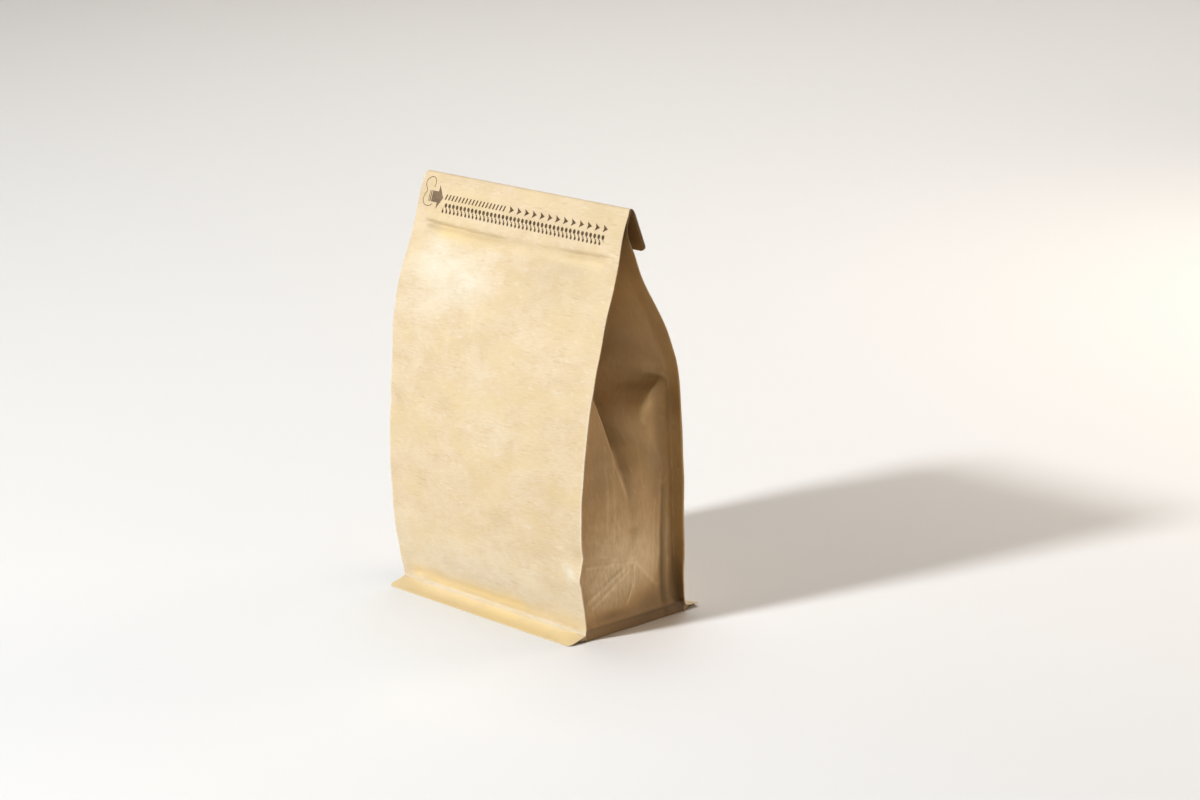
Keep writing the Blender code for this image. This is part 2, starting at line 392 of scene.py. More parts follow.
def quadsOf(index):
    # the four corners of each cell of a grid of vertex numbers, anticlockwise from outside
    return np.stack([index[:-1, :-1], index[:-1, 1:], index[1:, 1:], index[1:, :-1]], -1).reshape(-1, 4)


def gridIndex(grid):
    # a number for each point of the grid, row by row
    return np.arange(grid.shape[0] * grid.shape[1]).reshape(grid.shape[:2])


def rimOf(border, further):
    # quads from a closed ring of vertex numbers to the same ring `further` numbers on
    following = np.roll(border, -1, -1)
    return np.stack([border, border + further, following + further, following], -1).reshape(-1, 4)


def newObject(name, data):
    made = bpy.data.objects.new(name, data)
    bpy.context.collection.objects.link(made)
    return made


def newPiece(name, points, faces, material, smooth=True):
    mesh = bpy.data.meshes.new(name)
    mesh.from_pydata(intoBox(points).tolist(), [], faces)
    mesh.materials.append(material)
    if smooth:
        mesh.shade_smooth()
        mesh.set_sharp_from_angle(angle=np.radians(38))
    piece = newObject(name, mesh)
    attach(piece, "root")
    return piece


def asFilm(piece, flat):
    # each point's place in the paper's pattern; the CAD bag that the piece stands in for is hidden
    order = np.zeros(len(piece.data.loops), int)
    piece.data.loops.foreach_get("vertex_index", order)
    piece.data.uv_layers.new(name="filmMap").data.foreach_set("uv", flat[order].ravel())
    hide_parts("bag")


cutEdge = {
    "pale": 0.55,  # how much lighter the cut edges are low down
    "fades": (90, 140),
    # heights over which painted shade darkens the cut edges
    "darkens": (176, 192),
}


def filmPiece(name, middle, across, along, wearAndShade, material, gildedAndShaded=0.0):
    # two copies of the grid, half a film to each side of it along its normals, closed all round
    normal = unitNormals(middle) * bag["film"] / 2
    points = np.concatenate([(middle + normal).reshape(-1, 3), (middle - normal).reshape(-1, 3)])
    outer = gridIndex(middle)
    inner = outer + outer.size
    border = np.concatenate([outer[0, :-1], outer[:-1, -1], outer[-1, :0:-1], outer[:0:-1, 0]])
    rim = rimOf(border, outer.size)
    quads = np.concatenate([quadsOf(outer), quadsOf(inner)[:, ::-1], rim])
    piece = newPiece(name, points, quads.tolist(), material)
    flat = np.stack(np.broadcast_arrays(across, along), -1).reshape(-1, 2) * 0.001
    asFilm(piece, np.tile(flat, (2, 1)))
    # the films' cut edges are paler low down and carry painted brown shade at the fold
    pale = cutEdge["pale"]
    rubbedAndLit = np.array(np.broadcast_to(wearAndShade, outer.shape), float)
    paleEdge = pale * (1 - ease(*cutEdge["fades"], rows["level"]))
    edges = rubbedAndLit[:, [0, -1]]
    rubbedAndLit[:, [0, -1]] = np.where(paleEdge > 0, np.maximum(edges, paleEdge), edges)
    rubbedAndLit[0] = np.maximum(rubbedAndLit[0], pale)
    cut = np.broadcast_to(paleEdge - ease(*cutEdge["darkens"], rows["level"]), outer.shape)
    onCorners = np.tile(rubbedAndLit.ravel(), 2)[quads.ravel()]
    onCorners[-rim.size:] = np.tile(cut.ravel(), 2)[rim.ravel()]
    giltAndShade = np.tile(np.broadcast_to(gildedAndShaded, outer.shape).ravel(), 2)[quads.ravel()]
    for label, values in (("wearAndShade", onCorners), ("gildedAndShaded", giltAndShade)):
        piece.data.attributes.new(label, "FLOAT", "CORNER").data.foreach_set("value", values)


def lipCurl(x, y):
    # how far the back flange's right corner lifts: over its last millimetres along x and y
    acrossX, acrossY = bag["lipLifts"]
    return bag["lipLift"] * ease(*acrossX, x) * ease(*acrossY, y)


def panelColumns():
    # x of every column: a few across each fin, and a sine between the fins, closer at its ends
    widest = np.pi / 2 * bag["columnCrowding"]
    middle = np.sin(np.linspace(-1, 1, bag["panelColumns"]) * widest) / np.sin(widest)
    fin = np.linspace(0, 1, bag["finColumns"] + 1)[1:]
    right = rows["root"] + (rows["tip"] - rows["root"]) * fin
    return np.concatenate([-right[:, ::-1], rows["root"] * middle, right], axis=1)


def lipCut(x):
    # rounds the corners of a flange: its ends draw in over the last of its way to the lip
    reach = np.abs(rows["front"][:, :1]) - (bag["lipReach"] - bag["lipCorner"])
    share = np.clip(reach / bag["lipCorner"], 0, 1) * (rows["level"] < 3)
    cut = bag["lipCorner"] * (1 - np.sqrt(1 - share**2))
    return x * (1 - cut / rows["tip"])


# finishes
def newMaterial(name):
    material = bpy.data.materials.new(name)
    material.use_nodes = True
    return material, material.node_tree, material.node_tree.nodes["Principled BSDF"]


def feed(tree, node, inputs):
    # links each input to an output of another node, or sets its number, vector or colour
    for place, value in inputs.items():
        if isinstance(value, bpy.types.NodeSocket):
            tree.links.new(value, node.inputs[place])
        else:
            node.inputs[place].default_value = value
    return node.outputs


def mathNode(tree, operation, first, second, clamp=False):
    node = tree.nodes.new("ShaderNodeMath")
    node.operation, node.use_clamp = operation, clamp
    return feed(tree, node, {0: first, 1: second})[0]


def rangeNode(tree, value, low, high, toLow=0.0, toHigh=1.0):
    node = tree.nodes.new("ShaderNodeMapRange")
    node.interpolation_type = "SMOOTHSTEP"
    return feed(tree, node, {"Value": value, "From Min": low, "From Max": high,
                             "To Min": toLow, "To Max": toHigh})[0]


def mixColours(tree, share, first, second):
    node = tree.nodes.new("ShaderNodeMix")
    node.data_type = "RGBA"
    first, second = (value if isinstance(value, bpy.types.NodeSocket) else (*value, 1)
                     for value in (first, second))
    return feed(tree, node, {0: share, 6: first, 7: second})[2]


def stretchedNoise(tree, vector, turn, size, detail, rough, warp=0, shift=(0, 0, 0)):
    # noise whose grain is size[0] by size[1] millimetres, turned by `turn`
    placed = feed(tree, tree.nodes.new("ShaderNodeMapping"), {
        "Vector": vector, "Rotation": (0, 0, turn), "Location": shift,
        "Scale": (1000 / size[0], 1000 / size[1], 1000 / size[0])})[0]
    return feed(tree, tree.nodes.new("ShaderNodeTexNoise"), {
        "Vector": placed, "Scale": 1, "Detail": detail, "Roughness": rough, "Distortion": warp})[0]


paperNoise = {  # turn, grain, detail, roughness, warp and place of each
    "level": (0.0, (5.2, 0.7), 3, 0.6),
    "leaning": (0.42, (4.0, 0.62), 3, 0.6, 0, (7, 3, 0)),
    "other": (-0.5, (4.0, 0.62), 3, 0.6, 0, (2, 9, 0)),
    "broad": (0.2, (16, 11), 3, 0.55, 0.4),
    "fine": (0.0, (3.4, 2.6), 3, 0.6, 0.3, (4, 4, 0)),
    "speck": (0.08, (7.5, 1.1), 2, 0.5, 0.6, (12, 5, 0)),
    "gate": (0.0, (13, 9), 1, 0.5, 0, (1, 17, 0)),
    "broadest": (0.5, (30, 21), 3, 0.55, 0.5, (6, 31, 0)),
    "pip": (0.25, (5.0, 2.0), 1, 0.4, 0.4, (21, 8, 0)),
}


def paperGroup():
    # three layers of fibres lying within 30 degrees of u, cloudy blotches, sparse dark flecks,
    # broad patches and pale pips
    labels = ("Fibres", "Clouds", "Flecks", "Height", "Patches", "Pips")
    group = bpy.data.node_groups.new("paperFibres", "ShaderNodeTree")
    group.interface.new_socket(name="Vector", in_out="INPUT", socket_type="NodeSocketVector")
    for label in labels:
        group.interface.new_socket(name=label, in_out="OUTPUT", socket_type="NodeSocketFloat")
    given, made = group.nodes.new("NodeGroupInput"), group.nodes.new("NodeGroupOutput")
    noise = {name: stretchedNoise(group, given.outputs["Vector"], *values)
             for name, values in paperNoise.items()}
    summed = noise["level"]
    for name in ("leaning", "other"):
        summed = mathNode(group, "ADD", summed, mathNode(group, "MULTIPLY", noise[name], 0.6))
    fibres = rangeNode(group, summed, 0.75, 1.45)
    cloudy = mathNode(group, "ADD", noise["broad"], mathNode(group, "MULTIPLY", noise["fine"], 0.5))
    clouds = rangeNode(group, cloudy, 0.45, 1.05)
    flecks = mathNode(group, "MULTIPLY", rangeNode(group, noise["speck"], 0.54, 0.72),
                      rangeNode(group, noise["gate"], 0.45, 0.62))
    height = mathNode(group, "ADD", fibres, mathNode(group, "MULTIPLY", clouds, 0.5))
    patches = rangeNode(group, noise["broadest"], 0.42, 0.66)
    pips = rangeNode(group, noise["pip"], 0.61, 0.76)
    feed(group, made, dict(zip(labels, (fibres, clouds, flecks, height, patches, pips))))
    return group


paperFibres = paperGroup()


kraft = {
    "deep": (0.498, 0.366, 0.200),
    "pale": (0.605, 0.488, 0.325),
    "golden": (0.560, 0.425, 0.215),
    "fleck": (0.390, 0.250, 0.110),
    # warmth of the flange, and the colour of painted warm shade
    "giltAndShade": (0.690, 0.515, 0.240),
    "patches": 0.5,  # share of golden in the broadest patches
    "flecks": 0.35,
    "roughness": (0.50, 0.66),
    "relief": 0.38,
    "reliefDepth": 0.00012,
    "ior": 1.45,
}

# how each panel's paper differs: share of the colours above, colour where it is rubbed and where painted
# highlights lie, colour of its painted shade, shares of clouds and of pale pips in its pattern, and whether
# its fibres stand upright
papers = {
    "kraftPanel": ((0.98, 0.965, 0.965), (0.625, 0.57, 0.45), (0.33, 0.24, 0.12), 0.56, 0.22, False),
    # the back's darker colour is the deep brown of painted shade inside the flap
    "kraftBack": ((0.99, 0.97, 0.93), (0.67, 0.54, 0.36), (0.165, 0.078, 0.014), 0.5, 0.15, False),
    # the sides' paper is a darker, more saturated copy that stands for the shade they lie in; its lighter
    # colour is painted bounce light, its darker one painted shade
    "kraftSideShaded": ((0.91, 0.705, 0.46), (0.96, 0.73, 0.44), (0.17, 0.098, 0.034), 0.45, 0.08, True),
}


def attributeNode(tree, name):
    node = tree.nodes.new("ShaderNodeAttribute")
    node.attribute_name = name
    return node.outputs["Fac"]


def paperPattern(tree, place):
    # the paper group's outputs at a place
    node = tree.nodes.new("ShaderNodeGroup")
    node.node_tree = paperFibres
    return feed(tree, node, {"Vector": place})


def kraftMaterial(name):
    # fibres and clouds run the colour from deep to pale; flecks darken it. The film's wear attribute, which
    # carries real wear together with painted light and shade, lightens it above zero, for wear and painted
    # highlights, and darkens it below with painted shade; where it is gilded it turns to a warmer yellow,
    # the flange's own warmth and painted warm shade
    tint, rubbedAndLit, paintedShadeColour, cloudShare, pipShare, upright = papers[name]
    material, tree, shader = newMaterial(name)
    deep, pale, fleck, golden = (tuple(np.multiply(kraft[key], tint).tolist())
                                 for key in ("deep", "pale", "fleck", "golden"))
    place = tree.nodes.new("ShaderNodeUVMap")
    place.uv_map = "filmMap"
    turned = feed(tree, tree.nodes.new("ShaderNodeMapping"), {
        "Vector": place.outputs[0], "Rotation": (0, 0, np.pi / 2 if upright else 0)})[0]
    fibres, clouds, flecks, height, patches, pips = paperPattern(tree, turned)
    tone = mathNode(tree, "ADD", mathNode(tree, "MULTIPLY", fibres, 1 - cloudShare),
                    mathNode(tree, "MULTIPLY", clouds, cloudShare), clamp=True)
    colour = mixColours(tree, tone, deep, pale)
    for share, strength, other in ((patches, kraft["patches"], golden), (flecks, kraft["flecks"], fleck),
                                   (pips, pipShare, rubbedAndLit)):
        colour = mixColours(tree, mathNode(tree, "MULTIPLY", share, strength), colour, other)
    wearAndShade, gildedAndShaded = attributeNode(tree, "wearAndShade"), attributeNode(tree, "gildedAndShaded")
    rubAndHighlight = mathNode(tree, "MULTIPLY", wearAndShade, rangeNode(tree, tone, 0.1, 0.8, 0.55, 1.0), clamp=True)
    paintedShade = mathNode(tree, "MULTIPLY", wearAndShade, -1.0, clamp=True)
    giltAndShade = mathNode(tree, "MULTIPLY", gildedAndShaded, rangeNode(tree, patches, 0, 1, 0.7, 1.0), clamp=True)
    for share, other in ((rubAndHighlight, rubbedAndLit), (paintedShade, paintedShadeColour), (giltAndShade, kraft["giltAndShade"])):
        colour = mixColours(tree, share, colour, other)
    bump = feed(tree, tree.nodes.new("ShaderNodeBump"), {
        "Strength": kraft["relief"], "Distance": kraft["reliefDepth"], "Height": height})[0]
    feed(tree, shader, {"Base Color": colour, "Normal": bump, "IOR": kraft["ior"],
                        "Roughness": rangeNode(tree, tone, 0.2, 0.8, *kraft["roughness"])})
    return material


kraftPanel, kraftBack, kraftSideShaded = (kraftMaterial(name) for name in papers)
print("finishes made")


# front and back films
def inGroove(x):
    # the groove's share, which ends before the panel's sides
    return grooveShare(x) * (1 - ease(*frontPanel["grooveEnds"], np.abs(x)))


def frontWearAndShade(x, level):
    # lighter on the creases; painted highlight on the lip's bend, painted highlights and shade from the
    # tones list, and painted shade in the groove, below it on the left, and near the fold
    panel, groove = frontPanel, inGroove(x)
    lighter, lip, spread = panel["lipHighlight"]
    darker, *begins = panel["foldShade"]
    total = (lighter * hump(level, lip, spread) + panel["creaseWear"] * creases(panel["creases"], x, level)
             + dents(panel["paintedLightAndShade"], x, level) + darker * ease(*begins, level)
             + groove * alongZip(panel["zipShade"], x, level)
             + groove * ease(10, -20, x) * alongZip(panel["zipShadow"], x, level))
    return np.clip(total, -1, 1)


def frontGiltAndShade(x, level):
    # warmer on the flange, with painted warm shade in a band above it that fades to the right and under the
    # groove
    panel = frontPanel
    warmth, flangeTop = panel["flangeGilt"]
    strength, height, spread, start = panel["bandShade"]
    wavy = height + 1.2 * np.sin(x / 7) * np.sin(x / 17)
    band = hump(level, wavy, spread) * ease(-60, -55, x) * (1 - 0.6 * ease(0, 66, x))
    low = inGroove(x) * ease(-58, -46, x) * alongZip(panel["zipWarmShade"], x, level)
    total = warmth * (level < flangeTop) + strength * band * (level > start) + low
    return np.clip(total, 0, 1)


def backPaintedLight(level):
    # painted highlight on the lip's bend, painted light on the flange's top, and painted shade inside the
    # flap
    lighter, lip, spread = backPanel["lipHighlight"]
    flange, flangeTop = backPanel["flangeLight"]
    darker, *begins = backPanel["flapShade"]
    return lighter * hump(level, lip, spread) + flange * (level < flangeTop) + darker * ease(*begins, level)


x = lipCut(panelColumns())
level = rows["level"]
frontGrid = panelFilm(frontPanel, x)
middleColumn = frontGrid.shape[1] // 2
stepsUp = np.linalg.norm(np.diff(frontGrid[:, middleColumn], axis=0), axis=1)
distanceUp = column(np.append(0, np.cumsum(stepsUp)))
filmPiece("frontFilm", frontGrid, x, distanceUp, frontWearAndShade(x, level), kraftPanel, frontGiltAndShade(x, level))
backGrid = panelFilm(backPanel, x)
backGrid[..., 2] += lipCurl(backGrid[..., 0], backGrid[..., 1]) * (level < 4)
# far-off places in the pattern, so that no two films show the same stretch of it
filmPiece("backFilm", backGrid[:, ::-1], x[:, ::-1] + 400, distanceUp + 90, backPaintedLight(level), kraftBack)
print("front and back films made")

# side panels
side = {
    "half": 34.0,  # half of the side panel's flat width between its fins
    "foot": 33.0,  # half of its depth along the bottom
    "tuck": (57, 122),  # heights between which the tuck draws in
    "bulge": [
        (0, 0), (4.5, 0), (8, 1), (20, 2.8), (33, 4), (60, 5), (100, 3.2), (130, 1), (150, 0), (260, 0),
    ],
    "frontRidge": [
        (0, 0.47), (57, 0.47), (84, 0.36), (110, 0.18), (124, 0.07), (140, 0.02), (260, 0.012),
    ],
    "backRidge": [
        (0, 0.53), (80, 0.53), (99, 0.56), (106, 0.62), (113, 0.75), (118, 0.9), (124, 0.96),
        (140, 0.985), (260, 0.988),
    ],
    "wideRidge": 0.88,
    "wideBelow": (72, 112),
    "valleyAt": [
        (0, 0.5), (57, 0.5), (84, 0.455), (110, 0.35), (124, 0.36), (142, 0.47), (160, 0.5), (260, 0.5),
    ],
    "valley": [
        (0, 9), (57, 9), (90, 7), (125, 4), (150, 1.5), (170, 0.9), (190, 0.5), (196, 0.19),
        (260, 0.19),
    ],
    "slide": 2.0,  # how far in the legs start, from this height up
    "slideFrom": (112, 128),
    "strip": (4.6, 5.6),  # the bottom seal's top edge
    "sealAt": (64.5, 0.16),  # x of the seal's foot, and how far in it leans as it rises
    # painted shade just under the seal's top edge and a painted highlight just above it
    "sealShading": ((4.9, 0.5, -0.35), (5.9, 0.6, 0.08)),  # height, spread, lighter or darker
    # painted shade on the seal
    "sealShade": (-0.4, 4.4, 5.2),  # how dark the seal is, and heights over which that ends
    "ridgeTone": (0.1, 0.012),  # how light the tuck's front ridge is, and its spread
    "creaseWear": 0.65,
    "columns": (40, 20, 20, 32),  # across the front strip and leg, then the back ones
}

rightSide = {
    "creases": [  # y and height at each end, how far out, width
        (0, 31.7, -30, 34.7, 0.4, 0.8), (-7, 29.5, -29, 17.3, 0.45, 0.8),
        (-4.5, 27.8, -26, 13.8, 0.38, 0.8), (0, 31.7, -0.8, 19.8, 0.45, 0.8),
        (-0.8, 19.8, -4.3, 12, 0.45, 0.8), (0.5, 31, 16.2, 16.7, 0.4, 0.8),
        (-22, 39, -13, 36.2, 0.25, 0.8), (-25, 47, -19, 41.5, 0.22, 0.8), (16, 69, 20, 66.4, 0.2, 0.9),
        (20, 66.4, 25, 70.6, 0.2, 0.9), (-25, 25.5, -12, 20.5, 0.22, 0.8), (1, 44, 5, 34, 0.2, 0.9),
        (-15, 58, -10, 49, 0.18, 0.9),
    ],
    "grooves": [
        (20.2, 66, 20.6, 8, -0.65, 1.9), (-24, 10, -5, 5.8, -0.5, 2),
        (12.5, 120.4, 21.6, 118, -0.75, 1.3), (-4, 57, -2, 46, -0.45, 2.2),
    ],
    "dents": [  # y, height, spreads, how far out
        (25, 36, 2.4, 26, 0.45), (9, 11, 10, 6, -0.9), (-3, 47.7, 3.5, 2.6, -0.45),
        (7, 107, 3.6, 3, 0.6), (14, 126, 4.5, 3, 0.7), (-12, 104, 2.6, 2.2, -0.3),
        (-12, 106.6, 3.4, 0.9, 0.25), (-18, 30, 7, 6, -0.3), (6, 40, 6, 9, 0.35), (-22, 60, 5, 9, 0.3),
        (-20, 84, 4, 9, -0.25), (12, 86, 6, 9, 0.35), (10, 66, 5, 6, -0.3),
    ],
    # painted light and painted shade
    "paintedLightAndShade": [  # y, height, spreads, lighter or darker
        (-4, 33, 28, 18, 0.68), (-20, 20, 12, 10, 0.15), (11, 10, 12, 7, -0.5), (-14, 8, 11, 2.6, -0.5),
        (30, 5.2, 4, 1, -0.6), (0, 200, 60, 30, -0.4), (17, 119.2, 4.5, 1.6, -0.2),
        (20.6, 36, 1.7, 26, -0.62), (-3, 47.7, 3.5, 2.6, -0.25), (0, 142, 40, 20, -0.2),
        (31, 14, 5, 14, -0.3), (24, 40, 5, 30, -0.12), (-22, 80, 6, 22, -0.22), (15, 62, 6, 34, -0.2),
        (-2, 70, 4, 14, -0.12), (20.6, 20, 2.4, 14, -0.35), (27, 16, 5, 14, -0.3),
        (-12, 24, 12, 3.5, 0.12), (-16, 58, 7, 9, -0.12), (-18, 20, 12, 6, 0.12),
        (0, 196, 60, 8, -0.45), (0, 2, 60, 6, -0.3), (33, 50, 3.6, 60, -0.6), (25, 108, 3, 12, -0.4),
        (26, 38, 1.8, 30, 0.15), (-9, 104, 9, 9, -0.2), (-9, 90, 5.5, 9, -0.35),
        (-6.5, 76, 3.6, 9, -0.3), (-5, 64, 2.2, 6, -0.3), (8, 107.5, 4.5, 4, 0.2),
        (13, 126, 5, 3, 0.15), (15, 88, 8, 24, -0.2), (-20, 60, 8, 14, 0.2), (10, 88, 5, 10, 0.12),
    ],
    "rubs": [  # y and height at each end, how much lighter, width
        (-20, 92, -18, 50, 0.16, 0.7), (-15, 84, -14, 45, 0.14, 0.6), (4, 90, 5, 66, 0.1, 0.6),
        (9, 96, 10, 76, 0.1, 0.7), (13, 60, 13.5, 20, 0.2, 0.7), (16.5, 66, 17, 24, 0.2, 0.7),
        (18, 72, 18.3, 30, 0.25, 0.6), (-8, 46, -7, 20, 0.15, 0.6), (23.5, 66, 24, 12, 0.2, 0.6),
    ],
    "waves": (5, 30.0, 14, 0.16),
}

leftSide = {
    "creases": [
        (2, 35, -26, 40.5, 0.3, 0.8), (-5, 32, -26, 21, 0.3, 0.8), (2, 35, 1, 20, 0.3, 0.8),
        (3, 34, 19, 18, 0.28, 0.8), (5, 37, 22, 44, 0.18, 0.8), (-20, 62, -13, 56, 0.16, 0.9),
        (12, 72, 18, 67, 0.16, 0.9), (-24, 30, -14, 25, 0.15, 0.8),
    ],
    "grooves": [
        (18.5, 58, 19.6, 9, -0.7, 1.8), (-20, 8, 4, 6.6, -0.75, 2), (4, 119, 19, 117, -1.1, 1.8),
    ],
    "dents": [
        (25, 34, 2.4, 24, 0.4), (-9, 12.5, 9, 5, -0.9), (4, 104, 4, 3.4, 0.7), (12, 127, 4.5, 3, 0.7),
        (-15, 88, 5, 8, -0.3), (8, 52, 7, 7, 0.4), (-18, 48, 7, 6, 0.3), (10, 88, 6, 9, 0.35),
    ],
    # painted light and painted shade: y, height, spreads, lighter or darker
    "paintedLightAndShade": [
        (-2, 34, 26, 17, 0.3), (-9, 12, 10, 6, -0.4), (0, 200, 60, 26, -0.45), (12, 118, 7, 2.4, -0.4),
        (0, 0, 60, 5, -0.5), (33, 50, 3.6, 60, -0.45), (19, 34, 1.5, 24, -0.5), (-2, 92, 8, 14, -0.2),
    ],
    "rubs": [(-18, 88, -17, 52, 0.12, 0.8), (6, 92, 7, 58, 0.12, 0.8), (14, 64, 15, 22, 0.14, 0.8)],
    "waves": (8, 32.0, 14, 0.18),
}


def tuckLeg(start, half, depth, radius, share):
    # a straight leg from (start, half) that touches a circle of that radius round (depth - radius, 0),
    # then the circle's arc to (depth, 0): how far in, and how far from the middle plane, at each
    # share of the whole length
    reach = depth - radius - start
    span = np.hypot(reach, half)
    heading = np.arctan2(-half, reach) + np.arcsin(np.clip(radius / span, -1, 1))
    length = np.sqrt(np.maximum(span**2 - radius**2, 0))
    arc = np.maximum(heading + np.pi / 2, 0)
    step = share * (length + arc * radius)
    turn = np.clip(arc - (step - length) / radius, 0, arc)
    onLeg = step < length
    inward = np.where(onLeg, start + np.cos(heading) * step, depth - radius + radius * np.cos(turn))
    away = np.where(onLeg, half + np.sin(heading) * step, radius * np.sin(turn))
    return inward, away


def thinner(lines, share):
    # the same lines at a share of their widths
    return [(*line[:5], line[5] * share) for line in lines]


def tuckSection(level, gap, depth, slide, front, back, valley):
    # share of the way from front to back film, and distance in from the fins' roots, of each column:
    # fin, strip out to the ridge, leg and arc down to the valley, and the same from the back
    halves = ((valley - front) * gap, (back - valley) * gap)
    radius = np.minimum(smoothThrough(side["valley"], level), np.minimum(*halves)) * 0.999
    finShare = np.linspace(1, 0, bag["finColumns"] + 1)[:-1]
    finPlace = np.zeros((len(level), len(finShare)))
    crowding = 1 + 1.3 * ease(100, 196, level)
    width = rows["tip"] - rows["root"]
    shares, inwards = [], []
    for ridge, deepest, half, counts in ((front, valley, halves[0], side["columns"][:2]),
                                         (1 - back, 1 - valley, halves[1], side["columns"][2:])):
        stripShare, legStep = np.linspace(0, 1, counts[0]), np.linspace(0, 1, counts[1])[None, 1:]
        inLeg, off = tuckLeg(slide, half, depth, radius, 1 - (1 - legStep) ** crowding)
        shares.append(np.concatenate([finPlace, ridge * stripShare, deepest - off / gap], 1))
        inwards.append(np.concatenate([-width * finShare, slide * stripShare, inLeg], 1))
    share = np.concatenate([shares[0], 1 - shares[1][:, -2::-1]], 1)
    return share, np.concatenate([inwards[0], inwards[1][:, -2::-1]], 1)


def sideFilm(details, hand):
    # the side panel from the front fin's tip to the back fin's, tucked in between them. Low down
    # the tuck's back leg lies wide and flat, higher up it rises to a ridge
    level, closing = rows["level"], rows["closing"]
    frontRoot, backRoot = heldFilms(hand * rows["root"])
    foot, finColumns = side["foot"], bag["finColumns"]
    frontY = np.maximum(frontRoot[..., 1], -foot)
    backY = np.minimum(backRoot[..., 1], foot)
    gap = np.where(level < bag["closedHeight"], backY - frontY,
                   np.linalg.norm(backRoot - frontRoot, axis=2))
    slack = np.sqrt(np.maximum(side["half"] ** 2 - (gap / 2) ** 2, 0))
    depth = slack * ease(*side["tuck"], level)
    front = smoothThrough(side["frontRidge"], level) * (1 - closing)
    valley = smoothThrough(side["valleyAt"], level)
    slide = side["slide"] * ease(*side["slideFrom"], level)
    sections = []
    for ridge in (smoothThrough(side["backRidge"], level), side["wideRidge"]):
        back = 1 - (1 - ridge) * (1 - closing)
        sections.append(tuckSection(level, gap, depth, slide, front, back, valley))
    wide = 1 - ease(*side["wideBelow"], level)
    share, inward = (blend(upper, lower, wide) for upper, lower in zip(*sections))
    columns = np.arange(share.shape[1])
    onSide = (columns >= finColumns) & (columns < len(columns) - finColumns)
    out = smoothThrough(side["bulge"], level) * (1 - (2 * share - 1) ** 2) * onSide
    x = rows["root"] - inward + out
    start, end = heldFilms(hand * np.clip(x, None, rows["tip"]))
    limit = np.where(level < 4.2, foot, np.inf)
    start[..., 1] = np.maximum(start[..., 1], -limit)
    end[..., 1] = np.minimum(end[..., 1], limit)
    grid = start + (end - start) * share[..., None]
    y = grid[..., 1]
    shape = creases(details["creases"], y, level) + creases(details["grooves"], y, level)
    shape = shape + dents(details["dents"], y, level)
    seed, longest, count, height = details["waves"]
    shape = shape + height * gentleWaves(seed, longest, count, y, level)
    lower = 1 - ease(140, 175, level)
    sealTop = side["strip"][0]
    calm = ease(0, 0.06, share) * ease(0, 0.06, 1 - share) * ease(sealTop, sealTop + 3, level)
    grid[..., 0] = hand * (x + shape * calm * lower)
    # the seal along the bottom stands out from the side above it
    seal = 1 - ease(*side["strip"], level)
    sealX, lean = side["sealAt"]
    grid[..., 0] = blend(grid[..., 0], hand * (sealX - lean * level), seal)
    grid[..., 1] = blend(grid[..., 1], np.linspace(-foot, foot, len(columns)), seal)
    # eases the corners at the fins' roots
    weight = 0.25 * (1 - closing) * np.where(np.abs(columns - finColumns) < 4, 1.0, 0.45)
    weight = np.maximum(weight, weight[:, ::-1])[..., None]
    weight[:, [0, -1]] = 0
    for _ in range(2):
        shifted = np.roll(grid, 1, 1) + np.roll(grid, -1, 1) - 2 * grid
        shifted[:, [0, -1]] = 0
        grid = grid + weight * shifted
    # the sides' wear and shade values: lighter creases and rubs, a lighter line along the tuck's front
    # ridge, painted light and shade from the tones list, painted shade on the bottom seal, and painted
    # shade and a painted highlight at the seal's top edge
    wornAndShaded = side["creaseWear"] * creases(thinner(details["creases"], 0.85), y, level)
    wornAndShaded = (wornAndShaded + creases(details["rubs"], y, level)) * calm * lower
    light, spread = side["ridgeTone"]
    wornAndShaded = wornAndShaded + light * hump(share, front, spread) * ease(54, 62, level) * (1 - ease(104, 118, level))
    paintedShade, *ends = side["sealShade"]
    wornAndShaded = wornAndShaded + dents(details["paintedLightAndShade"], y, level) + paintedShade * (1 - ease(*ends, level))
    for at, spread, tone in side["sealShading"]:
        wornAndShaded = wornAndShaded + tone * hump(level, at, spread)
    return grid, np.clip(wornAndShaded, -1, 1)


for name, details, hand, offset in (("rightGusset", rightSide, 1, 700), ("leftGusset", leftSide, -1, 900)):
    grid, wornAndShaded = sideFilm(details, hand)
    spread = np.append(0, np.cumsum(np.linalg.norm(np.diff(grid, axis=1), axis=2).mean(0)))[None]
    if hand < 0:
        grid, wornAndShaded = grid[:, ::-1], wornAndShaded[:, ::-1]
    filmPiece(name, grid, spread + offset, rows["level"] + 0 * spread, wornAndShaded, kraftSideShaded)
print("side panels made")

# base panel
base = {
    # y and z up the wedge under a flange, from its lip inwards, and the panel's middle
    "wedge": [(43.5, 0.18), (39.4, 0.66), (36.4, 1.6), (34.2, 3), (33.2, 3.4), (32.6, 0.8)],
    "middle": (0, 0.7),
    "halfWidth": 64.4,
    "columns": 41,
    "patternPlace": (1.2, 0.4),
}


